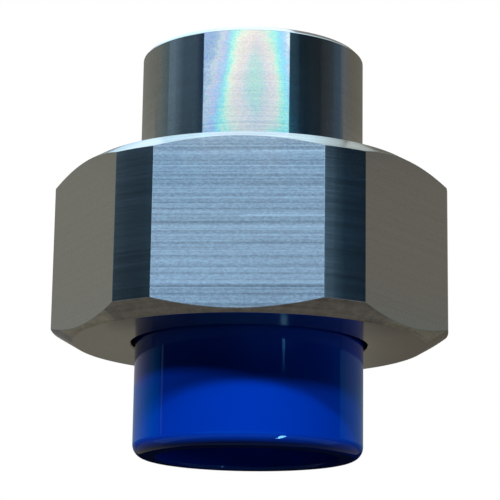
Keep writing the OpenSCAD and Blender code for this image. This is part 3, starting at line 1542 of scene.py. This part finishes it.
LEFT_PANELS = (
    Panel("left_high_back", (-180, -143), (16.2, 24.0), (0.187, 0.195, 0.168)),
    Panel("left_high_break", (-180, -143), (24.0, 30.0), (0.68, 0.95, 1.15)),
    Panel("left_high_grey", (-143, -111), HIGH, (0.183, 0.19, 0.164), (0.152, 0.16, 0.144)),
    Panel("left_high_slate", (-111, -94), HIGH, (0.152, 0.164, 0.152), (0.078, 0.121, 0.136)),
    Panel("left_high_pale", (-94, -84), HIGH, (0.121, 0.183, 0.226), (0.117, 0.176, 0.226)),
    Panel("left_high_fade", (-84, -73), HIGH, (0.105, 0.16, 0.211), (0.0546, 0.092, 0.125)),
    Panel("left_high_dark", (-73, -48.5), HIGH, (0.053, 0.0897, 0.125), (0.0468, 0.078, 0.113)),
    Panel("left_middle_back", (-180, -117), MIDDLE, (0.255, 0.255, 0.216)),
    Panel("left_middle_teal", (-117, -105), MIDDLE, (0.11, 0.155, 0.17), (0.10, 0.15, 0.17)),
    Panel("left_middle_fade", (-105, -82), MIDDLE, (0.10, 0.15, 0.17), (0.055, 0.09, 0.125)),
    Panel("left_middle_edge", (-82, -70), MIDDLE, (0.042, 0.072, 0.10), (0.022, 0.044, 0.068)),
    Panel("left_middle_dark", (-70, -60), MIDDLE, (0.022, 0.044, 0.068), (0.016, 0.038, 0.060)),
    Panel("left_middle_rise", (-60, -48.5), MIDDLE, (0.018, 0.042, 0.065), (0.030, 0.068, 0.104)),
    Panel("left_horizon_back", (-180, -165), HORIZON, (0.17, 0.16, 0.13)),
    Panel("left_horizon_high_side", (-165, -150), (0.0, 6.6), (0.09, 0.16, 0.22)),
    Panel("left_horizon_high", (-150, -105), (0.0, 6.6), (0.05, 0.14, 0.18), (0.02, 0.12, 0.16)),
    Panel("left_horizon_side", (-165, -150), (-8.8, 0.0), (0.125, 0.12, 0.11)),
    Panel("left_horizon", (-150, -105), (-8.8, 0.0), (0.06, 0.08, 0.10)),
    Panel("left_eaves_back", (-180, -150), EAVES, (0.27, 0.29, 0.32), (0.33, 0.33, 0.35)),
    Panel("left_eaves_grey", (-150, -135), EAVES, (0.36, 0.33, 0.34), (0.33, 0.31, 0.33)),
    Panel("left_eaves_fade", (-135, -118), EAVES, (0.33, 0.30, 0.32), (0.20, 0.23, 0.26)),
    Panel("left_eaves_teal", (-118, -105), EAVES, (0.18, 0.22, 0.26), (0.08, 0.20, 0.24)),
    Panel("left_eaves_edge", (-105, -95), EAVES, (0.05, 0.19, 0.24), (0.0, 0.12, 0.16)),
    Panel("left_low_back", (-180, -135), LOW, (0.20, 0.24, 0.27), (0.23, 0.35, 0.38)),
    Panel("left_low_grey", (-135, -118), LOW, (0.22, 0.36, 0.38), (0.12, 0.36, 0.38)),
    Panel("left_low_teal", (-118, -105), LOW, (0.08, 0.36, 0.38), (0.02, 0.36, 0.38)),
    Panel("left_low_edge", (-105, -95), LOW, (0.0, 0.32, 0.34), (0.0, 0.25, 0.27)),
    Panel("left_low_line", (-93.2, -90.8), SILL, (0.30, 0.38, 0.46)),
    Panel("left_sky_back", (-180, -135), SKY, (0.95, 1.22, 1.42)),
    Panel("left_sky_side", (-135, -65), SKY, (0.69, 1.01, 1.21), (0.84, 1.18, 1.38)),
    Panel("left_sky", (-65, -48.5), (30.0, 47.0), (0.89, 1.32, 1.58)),
)
RIGHT_PANELS = (
    Panel("right_high_edge", (41.5, 52), HIGH, (0.039, 0.0702, 0.0936), (0.0172, 0.0351, 0.0507)),
    Panel("right_high_dark", (52, 78), HIGH, (0.0117, 0.0203, 0.0281), (0.0156, 0.0226, 0.0265)),
    Panel("right_high_dim", (78, 96), HIGH, (0.0218, 0.0281, 0.0328), (0.039, 0.0515, 0.0624)),
    Panel("right_high_blue", (96, 108), HIGH, (0.0406, 0.0624, 0.0936), (0.0546, 0.0858, 0.121)),
    Panel("right_high_fade", (108, 114), HIGH, (0.0858, 0.109, 0.133), (0.117, 0.133, 0.14)),
    Panel("right_high_grey", (114, 130), HIGH, (0.117, 0.125, 0.129), (0.129, 0.125, 0.105)),
    Panel("right_high_back", (130, 180), HIGH, (0.136, 0.129, 0.101), (0.156, 0.152, 0.129)),
    Panel("right_middle_edge", (41.5, 52), MIDDLE, (0.12, 0.23, 0.34), (0.058, 0.112, 0.167)),
    Panel("right_middle_fade", (52, 58), MIDDLE, (0.044, 0.092, 0.142), (0.014, 0.042, 0.072)),
    Panel("right_middle_dark", (58, 78), MIDDLE, (0.011, 0.035, 0.066), (0.006, 0.020, 0.038)),
    Panel("right_middle_dim", (78, 111.5), MIDDLE, (0.03, 0.04, 0.05), (0.06, 0.09, 0.11)),
    Panel("right_middle_back", (111.5, 180), MIDDLE, (0.20, 0.187, 0.155), (0.21, 0.20, 0.17)),
    Panel("right_horizon_high", (107, 165), (0.0, 6.6), (0.0, 0.12, 0.16), (0.06, 0.13, 0.18)),
    Panel("right_horizon", (107, 165), (-8.8, 0.0), (0.02, 0.06, 0.08), (0.05, 0.07, 0.09)),
    Panel("right_horizon_back", (165, 180), HORIZON, (0.11, 0.10, 0.08)),
    Panel("right_sill_dark", (96, 107), (6.6, 10.2), (0.0, 0.05, 0.08)),
    Panel("right_eaves_teal", (107, 118), EAVES, (0.08, 0.26, 0.29), (0.13, 0.23, 0.25)),
    Panel("right_eaves_back", (118, 180), EAVES, (0.16, 0.23, 0.25), (0.17, 0.19, 0.20)),
    Panel("right_low_teal", (107, 118), LOW, (0.05, 0.28, 0.31), (0.09, 0.27, 0.30)),
    Panel("right_low_back", (118, 180), LOW, (0.11, 0.26, 0.29), (0.18, 0.22, 0.24)),
    Panel("right_low_sky", (50, 178), (30, 34), (0.12, 0.13, 0.14), (0.30, 0.32, 0.31)),
    Panel("right_sky_bright", (50, 80), (34, 47), (0.92, 1.26, 1.41), (0.84, 1.15, 1.32)),
    Panel("right_sky_fade", (80, 115), (34, 62), (0.82, 1.12, 1.27), (0.60, 0.75, 0.82)),
    Panel("right_sky_dim", (115, 152), (34, 62), (0.60, 0.75, 0.82), (0.50, 0.60, 0.60)),
    Panel("right_sky_back", (152, 178), (34, 62), (0.23, 0.24, 0.23)),
    Panel("right_break", (173, 178), (30, 40), (0.56, 0.64, 0.62), distance=9.5),
)
ROUND_PANELS = (
    Panel("zenith", ALL_ROUND, ZENITH, (1.10, 1.32, 1.52)),
    Panel("ground_left_back", (-180, -165), GROUND, (0.165, 0.155, 0.127)),
    Panel("ground_left", (-165, -110), GROUND, (0.16, 0.148, 0.115)),
    Panel("ground_right", (110, 167), GROUND, (0.14, 0.13, 0.10)),
    Panel("ground_right_back", (167, 180), GROUND, (0.112, 0.100, 0.081)),
    Panel("ground_below", ALL_ROUND, FLOOR, (0.105, 0.097, 0.082)),
    Panel("dim_room", ALL_ROUND, (-89.9, 89.9), (0.012, 0.018, 0.024), distance=12.0),
)


@dataclass(frozen=True)
class Studio:
    """The floor, world, camera, lamps and reflection panels.

    Args:
        floor_drop: how far the floor lies below the object, in metres.
        floor_size: side of the floor, in metres.
        floor_colour: its colour.
        sky: strength of the world as a light.
        distance: distance of the camera from the axis, in mm.
        height: height of the camera above the tail's end, in mm.
        azimuth: place of the camera round the object from the front, in degrees to the right.
        yaw: how far it looks past the axis, in degrees.
        pitch: how far it looks up, in degrees.
        roll: how far it leans, in degrees.
        lens: its focal length, in mm.
        film: width of its film, in mm.
    """

    floor_drop: float = 0.0003
    floor_size: float = 3.0
    floor_colour: Colour = (0.9, 0.9, 0.9)
    sky: float = 0.006
    distance: float = 354.711
    height: float = -43.146
    azimuth: float = 3.8217
    yaw: float = 0.0152
    pitch: float = 12.8757
    roll: float = 0.8432
    lens: float = 144.87
    film: float = 36.0

    def floor(self) -> None:
        """Lays a pale floor that is clear when it is seen from below."""
        bpy.ops.object.select_all(action="DESELECT")
        bpy.ops.mesh.primitive_plane_add(size=self.floor_size, location=(0, 0, -self.floor_drop))
        floor = bpy.context.object
        floor.name = "studio_floor"
        material = bpy.data.materials.new("pale_floor")
        material.use_nodes = True
        nodes = material.node_tree.nodes
        graph = Graph(material.node_tree)
        nodes["Principled BSDF"].inputs["Base Color"].default_value = (*self.floor_colour, 1.0)
        nodes["Principled BSDF"].inputs["Roughness"].default_value = 0.9
        sides = graph.add("MixShader")
        graph.feed(sides.inputs[0], graph.add("NewGeometry").outputs["Backfacing"])
        graph.feed(sides.inputs[1], nodes["Principled BSDF"].outputs[0])
        graph.feed(sides.inputs[2], graph.add("BsdfTransparent").outputs[0])
        graph.feed(nodes["Material Output"].inputs["Surface"], sides.outputs[0])
        floor.data.materials.append(material)
        floor.visible_glossy = floor.visible_diffuse = floor.visible_shadow = False

    def world(self) -> None:
        """Makes the world white where it is seen or mirrored, and dim as a light."""
        world = bpy.data.worlds.new("studio_world")
        bpy.context.scene.world = world
        world.use_nodes = True
        graph = Graph(world.node_tree)
        back = world.node_tree.nodes["Background"]
        path = graph.add("LightPath")
        seen = graph.math("ADD", path.outputs["Is Camera Ray"], path.outputs["Is Glossy Ray"])
        seen = graph.math("ADD", seen, path.outputs["Is Transmission Ray"], clamp=True)
        graph.feed(back.inputs["Strength"], graph.fit(seen, 0.0, 1.0, self.sky, 1.0))
        back.inputs["Color"].default_value = (1.0, 1.0, 1.0, 1.0)

    def camera(self) -> None:
        """Places the camera where the photograph was taken, which is below the tail's end."""
        angles = (self.azimuth, self.yaw, self.pitch, self.roll)
        azimuth, yaw, pitch, roll = (math.radians(angle) for angle in angles)
        aside, in_front = self.distance * math.sin(azimuth), self.distance * math.cos(azimuth)
        place = Vector((aside, -in_front, self.height)) * MM
        level = Vector((-math.sin(azimuth + yaw), math.cos(azimuth + yaw), 0))
        ahead = level * math.cos(pitch) + Vector((0, 0, 1)) * math.sin(pitch)
        across = Vector((level.y, -level.x, 0))
        above = across.cross(ahead)
        right = across * math.cos(roll) + above * math.sin(roll)
        up = above * math.cos(roll) - across * math.sin(roll)
        data = bpy.data.cameras.new("photo_camera")
        data.sensor_width = self.film
        data.lens = self.lens
        data.clip_start, data.clip_end = 0.01, 20.0
        camera = bpy.data.objects.new("photo_camera", data)
        bpy.context.scene.collection.objects.link(camera)
        turned = Matrix((right, up, -ahead)).transposed().to_4x4()
        camera.matrix_world = Matrix.Translation(place) @ turned
        bpy.context.scene.camera = camera

    @staticmethod
    def keep_glints_on(piece: bpy.types.Object) -> None:
        """Lets only one piece mirror the clear panels, which give plastic its glints.

        Args:
            piece: the piece that shows them.
        """
        receivers = bpy.data.collections.new("glint_receivers")
        receivers.objects.link(piece)
        for panel in FRONT_PANELS:
            if panel.clear:
                bpy.data.objects[panel.name].light_linking.receiver_collection = receivers

    def build(self) -> None:
        """Sets up the whole studio."""
        bpy.context.scene.view_settings.view_transform = "Standard"
        self.floor()
        self.world()
        self.camera()
        for part in (*LAMPS, *FRONT_PANELS, *LEFT_PANELS, *RIGHT_PANELS, *ROUND_PANELS, Flag()):
            part.build()


def dress_seal(shop: Workshop) -> bpy.types.Object:
    """Gives the O-ring its rubber.

    Args:
        shop: the finishes.

    Returns:
        The O-ring.
    """
    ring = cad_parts["o_ring"]
    Bench.dress(ring, shop.rubber)
    return ring


def main() -> None:
    """Builds the studio and then the union's pieces, and reports each piece."""
    logging.basicConfig(level=logging.INFO, format="%(message)s")
    studio = Studio()
    studio.build()
    shop = Workshop()
    tail = SocketTail().build(shop)
    studio.keep_glints_on(tail)
    pieces = [tail, UnionNut().build(shop), ThreadedEnd().build(shop), dress_seal(shop)]
    for piece in pieces:
        log.info("%s: %d faces", piece.name, len(piece.data.polygons))


if __name__ == "__main__":
    main()
